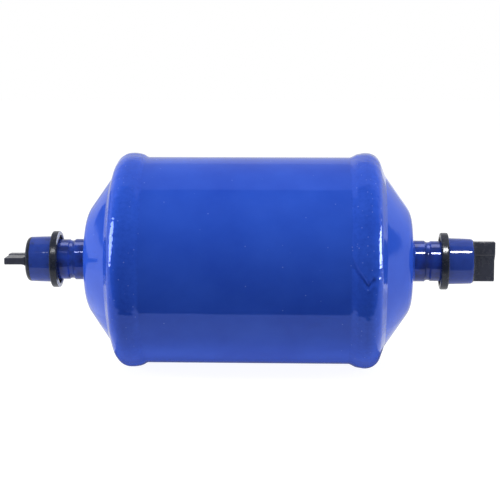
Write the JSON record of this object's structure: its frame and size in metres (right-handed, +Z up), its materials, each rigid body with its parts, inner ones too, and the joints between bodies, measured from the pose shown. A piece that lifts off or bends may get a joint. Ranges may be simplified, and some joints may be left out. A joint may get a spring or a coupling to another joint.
{
  "type": "filter drier",
  "caption": "Sealed liquid-line filter drier: painted steel canister with welded dished ends, solder-socket tubes under pull-off rubber caps, and a spring-loaded desiccant core inside.",
  "frame": {"origin": "centre of the canister, on its axis, midway between the two ends", "axes": "+X along the axis in the direction of flow, inlet at -X and outlet at +X; +Z up with the drier lying level"},
  "size_m": [0.1734, 0.0764, 0.0764],
  "materials": {
    "blue_paint": "gloss",
    "black_rubber": "satin",
    "plain_steel": "plain",
    "filter_felt": "matt felt",
    "desiccant": "matt, moulded"
  },
  "bodies": {
    "drier": {"shell_tube": "blue_paint", "inlet_end_cap": "blue_paint", "outlet_end_cap": "blue_paint", "inlet_seam_weld": "blue_paint", "outlet_seam_weld": "blue_paint", "inlet_connector": "blue_paint", "outlet_connector": "blue_paint", "inlet_braze_ring": "blue_paint", "outlet_braze_ring": "blue_paint", "core_spring": "plain_steel", "spring_plate": "plain_steel", "inlet_screen": "plain_steel", "inlet_pad": "filter_felt", "desiccant_core": "desiccant", "core_seal_ring": "filter_felt", "outlet_pad": "filter_felt", "outlet_screen": "plain_steel", "outlet_plate": "plain_steel"},
    "inlet_cap": {"inlet_seal_cap": "black_rubber"},
    "outlet_cap": {"outlet_seal_cap": "black_rubber"}
  },
  "joints": [
    {"name": "inlet_cap_pull", "type": "slide", "parent": "drier", "child": "inlet_cap", "axis": [-1, 0, 0], "range_m": [0, 0.06]},
    {"name": "outlet_cap_pull", "type": "slide", "parent": "drier", "child": "outlet_cap", "axis": [1, 0, 0], "range_m": [0, 0.06]}
  ]
}
